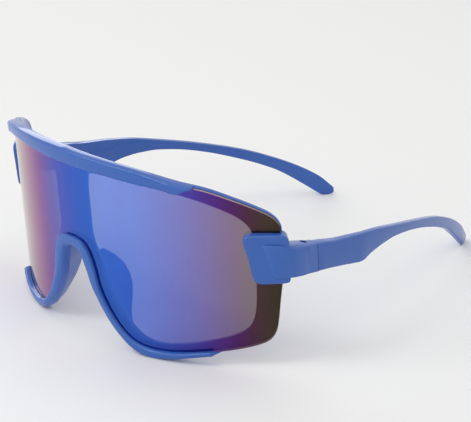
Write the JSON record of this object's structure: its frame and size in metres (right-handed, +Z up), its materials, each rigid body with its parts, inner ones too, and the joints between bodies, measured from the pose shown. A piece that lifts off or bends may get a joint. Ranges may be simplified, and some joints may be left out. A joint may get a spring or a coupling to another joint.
{
  "type": "wraparound sport sunglasses",
  "caption": "Wraparound shield sunglasses: a curved mirrored lens in a moulded front with a brow bar and nose arch, and two folding temples on screw hinges.",
  "frame": {"origin": "middle of the footprint, on the table plane that the lower lip and the temple tips stand on", "axes": "+Z up, the front faces -Y and the temples run back towards +Y, +X is the wearer's left"},
  "size_m": [0.1526, 0.174, 0.0735],
  "materials": {
    "blue_plastic": "glossy opaque moulded plastic",
    "mirror_lens": "tinted see-through plastic with a blue to violet mirror coating",
    "screw_steel": "small plain steel screw"
  },
  "bodies": {
    "front": {"front_frame": "blue_plastic", "shield_lens": "mirror_lens", "hinge_screw_left": "screw_steel", "hinge_screw_right": "screw_steel"},
    "left_temple": {"temple_left": "blue_plastic"},
    "right_temple": {"temple_right": "blue_plastic"}
  },
  "joints": [
    {"name": "temple_left_fold", "type": "hinge", "parent": "front", "child": "left_temple", "pos_m": [0.07119, -0.03802, 0.03991], "axis": [0, -0.0679, 0.9977], "range_deg": [0, 87]},
    {"name": "temple_right_fold", "type": "hinge", "parent": "front", "child": "right_temple", "pos_m": [-0.07119, -0.03802, 0.03991], "axis": [0, 0.0679, -0.9977], "range_deg": [0, 79]}
  ]
}
